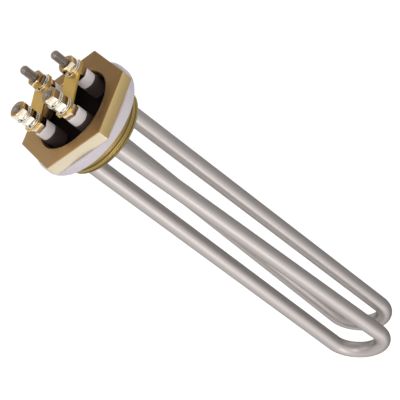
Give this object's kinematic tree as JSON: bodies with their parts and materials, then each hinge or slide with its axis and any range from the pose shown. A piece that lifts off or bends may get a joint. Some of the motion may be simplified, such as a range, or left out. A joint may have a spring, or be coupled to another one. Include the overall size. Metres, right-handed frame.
{
  "type": "immersion heater",
  "caption": "Screw-in immersion heater: brass hexagon plug with pipe thread and white gasket, slim hairpin elements below, ceramic-insulated studs joined by brass strips above",
  "frame": {"origin": "centre of the sealing plane, the underside of the gasket where it meets the tank boss, on the thread's axis", "axes": "+Z points out of the tank along the terminal studs, the hairpins hang along -Z; each hairpin's two legs stand side by side along X, the two rows one behind the other along Y"},
  "size_m": [0.0554, 0.056, 0.2468],
  "materials": {
    "plug_brass": "forged and turned, satin",
    "gasket_white": "moulded white sealing rubber, matt",
    "sheath_steel": "drawn stainless tube, satin, blackened at the posts' end",
    "bead_ceramic": "pressed steatite, fine matt",
    "magnesia_powder": "compacted powder",
    "winding_wire": "resistance wire",
    "stud_steel": "plain steel, dulled",
    "nut_brass": "nickel-flashed brass, bright",
    "washer_steel": "zinc-plated spring steel, bright",
    "jumper_brass": "rolled brass strip",
    "braze_alloy": "brazing alloy as it froze",
    "seal_resin": "cured resin"
  },
  "bodies": {
    "root": {"braze_fillets": "braze_alloy", "ceramic_bead_front_left": "bead_ceramic", "ceramic_bead_front_right": "bead_ceramic", "ceramic_bead_rear_left": "bead_ceramic", "ceramic_bead_rear_right": "bead_ceramic", "clamp_nut_front_left": "nut_brass", "clamp_nut_front_right": "nut_brass", "clamp_nut_rear_left": "nut_brass", "clamp_nut_rear_right": "nut_brass", "clamp_spring_washer_front_left": "washer_steel", "clamp_spring_washer_front_right": "washer_steel", "clamp_spring_washer_rear_left": "washer_steel", "clamp_spring_washer_rear_right": "washer_steel", "clamp_washer_front_left": "washer_steel", "clamp_washer_front_right": "washer_steel", "clamp_washer_rear_left": "washer_steel", "clamp_washer_rear_right": "washer_steel", "end_seal_front_left": "seal_resin", "end_seal_front_right": "seal_resin", "end_seal_rear_left": "seal_resin", "end_seal_rear_right": "seal_resin", "front_element_sheath": "sheath_steel", "front_heating_coil": "winding_wire", "front_magnesia_fill": "magnesia_powder", "jumper_plate_left": "jumper_brass", "jumper_plate_right": "jumper_brass", "lead_nut_front_left": "nut_brass", "lead_nut_front_right": "nut_brass", "lead_spring_washer_front_left": "washer_steel", "lead_spring_washer_front_right": "washer_steel", "lead_washer_front_left": "washer_steel", "lead_washer_front_right": "washer_steel", "plug_body": "plug_brass", "rear_element_sheath": "sheath_steel", "rear_heating_coil": "winding_wire", "rear_magnesia_fill": "magnesia_powder", "sealing_gasket": "gasket_white", "terminal_pin_front_left": "stud_steel", "terminal_pin_front_right": "stud_steel", "terminal_pin_rear_left": "stud_steel", "terminal_pin_rear_right": "stud_steel", "under_nut_front_left": "nut_brass", "under_nut_front_right": "nut_brass", "under_nut_rear_left": "nut_brass", "under_nut_rear_right": "nut_brass"}
  },
  "joints": []
}
